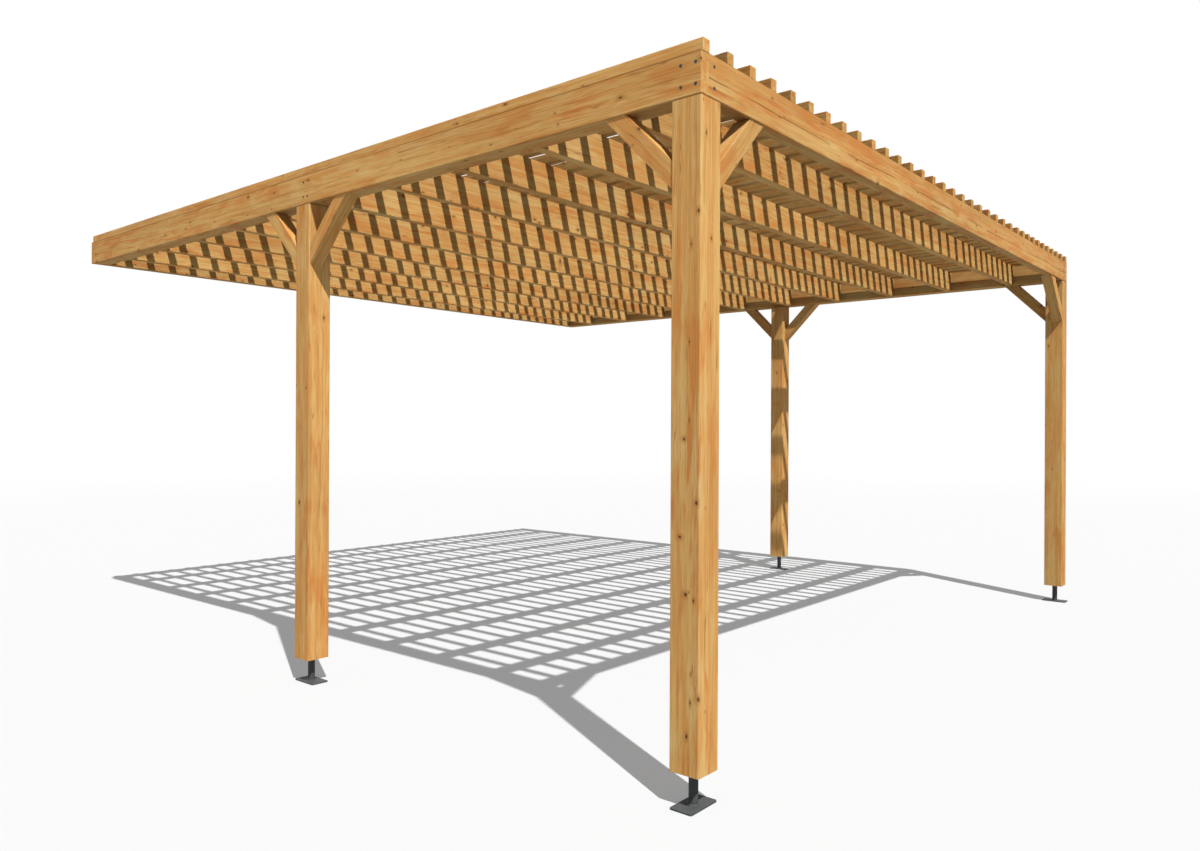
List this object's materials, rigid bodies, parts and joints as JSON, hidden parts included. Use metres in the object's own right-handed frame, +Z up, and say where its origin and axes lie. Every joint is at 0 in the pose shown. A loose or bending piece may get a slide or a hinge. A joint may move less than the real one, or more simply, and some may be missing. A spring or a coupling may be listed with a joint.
{
  "type": "wooden pergola",
  "caption": "Flat-roofed softwood pergola on square posts with steel feet, braces, housed joists and slatted roof battens, its rear edge made to meet a wall.",
  "frame": {"origin": "on the ground, in the middle of the outline seen from above", "axes": "+X along the front beam to the right, +Y from the front to the wall side, +Z up"},
  "size_m": [4.98, 5.02, 2.59],
  "materials": {
    "timber": "matte",
    "steel": "satin"
  },
  "bodies": {
    "root": {"front_beam": "timber", "rear_beam": "timber", "side_beam_left": "timber", "side_beam_right": "timber", "post_front_left": "timber", "post_front_right": "timber", "post_rear_left": "timber", "post_rear_right": "timber", "brace_front_beam_left": "timber", "brace_front_post_left": "timber", "brace_rear_post_left_forward": "timber", "brace_rear_post_left_rearward": "timber", "brace_front_beam_right": "timber", "brace_front_post_right": "timber", "brace_rear_post_right_forward": "timber", "brace_rear_post_right_rearward": "timber", "joist_01": "timber", "joist_02": "timber", "joist_03": "timber", "joist_04": "timber", "joist_05": "timber", "joist_06": "timber", "joist_07": "timber", "joist_08": "timber", "joist_09": "timber", "joist_10": "timber", "roof_battens_1": "timber", "roof_battens_2": "timber", "roof_battens_3": "timber", "roof_battens_4": "timber", "roof_battens_5": "timber", "roof_battens_6": "timber", "roof_battens_7": "timber", "foot_front_left": "steel", "foot_front_right": "steel", "foot_rear_left": "steel", "foot_rear_right": "steel"}
  },
  "joints": []
}
